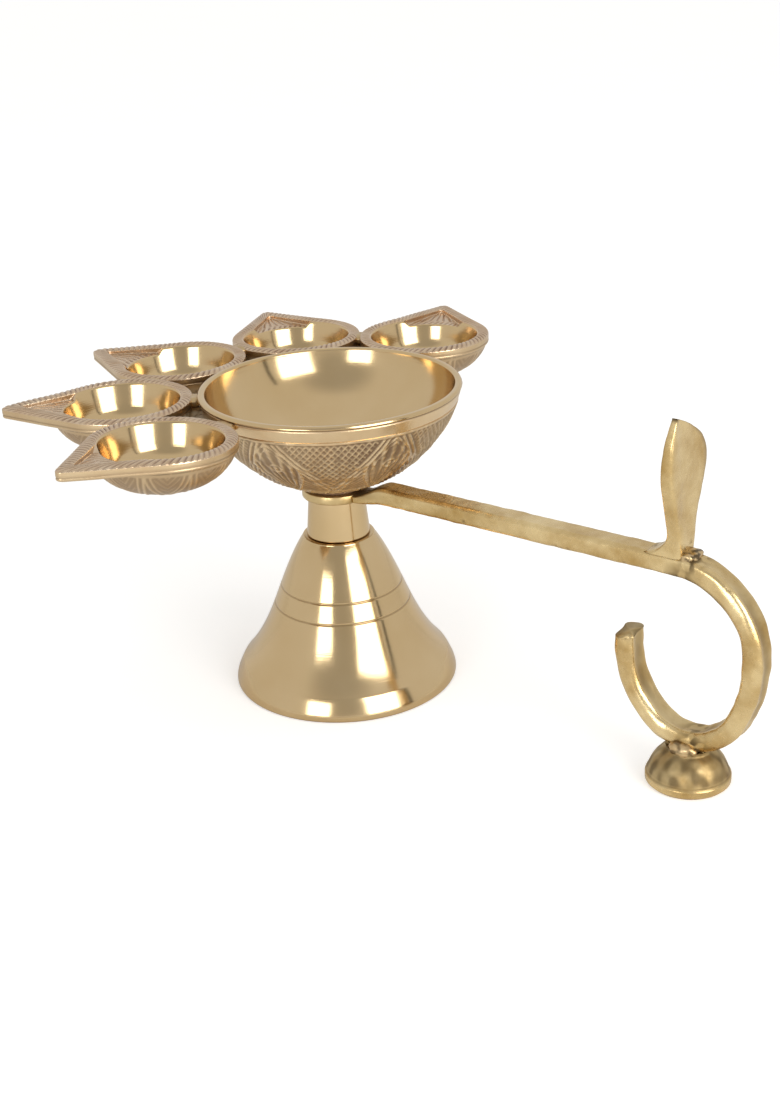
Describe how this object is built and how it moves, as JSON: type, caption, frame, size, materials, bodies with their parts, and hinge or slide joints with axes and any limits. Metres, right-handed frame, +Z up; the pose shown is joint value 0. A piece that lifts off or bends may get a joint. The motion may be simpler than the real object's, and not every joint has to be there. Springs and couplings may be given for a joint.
{
  "type": "aarti lamp",
  "caption": "Brass aarti lamp: a bell-shaped stand, an oil bowl with a fan of spouted wick cups, and a side handle with an open finger ring, thumb leaf and foot, clamped by a centre stud.",
  "frame": {"origin": "on the axis of the bell-shaped stand, at the surface that it stands on", "axes": "+Z up along the stud, +X out along the handle, so the fan of cups is on the -X side"},
  "size_m": [0.2114, 0.1675, 0.0947],
  "materials": {
    "polished_brass": "turned and polished",
    "chased_brass": "turned, polished inside, hand-chased outside",
    "cast_brass": "sand cast, filed and buffed",
    "braze": "braze as it ran",
    "steel": "plated"
  },
  "bodies": {
    "base": {"bell_base": "polished_brass", "neck_collar": "polished_brass"},
    "handle": {"handle_arm": "cast_brass", "thumb_leaf": "cast_brass", "leaf_braze": "braze", "foot_button": "polished_brass", "foot_braze": "braze"},
    "bowl": {"bowl": "chased_brass", "cup_1": "chased_brass", "cup_2": "chased_brass", "cup_3": "chased_brass", "cup_4": "chased_brass", "cup_5": "chased_brass", "rim_braze": "braze", "centre_stud": "steel"},
    "washer": {"clamp_washer": "steel"},
    "nut": {"clamp_nut": "steel"}
  },
  "joints": [
    {"name": "handle_swivel", "type": "hinge", "parent": "base", "child": "handle", "pos_m": [0, 0, 0.0537], "axis": [0, 0, 1], "continuous": true},
    {"name": "bowl_turn", "type": "hinge", "parent": "base", "child": "bowl", "pos_m": [0, 0, 0.0561], "axis": [0, 0, 1], "continuous": true},
    {"name": "washer_drop", "type": "slide", "parent": "bowl", "child": "washer", "axis": [0, 0, -1], "range_m": [0, 0.002]},
    {"name": "nut_turn", "type": "hinge", "parent": "washer", "child": "nut", "pos_m": [0, 0, 0.0364], "axis": [0, 0, -1], "range_deg": [0, 721]}
  ],
  "couplings": [
    {"joint": "nut_turn", "follows": "washer_drop", "rad_per_m": 6283.2}
  ]
}
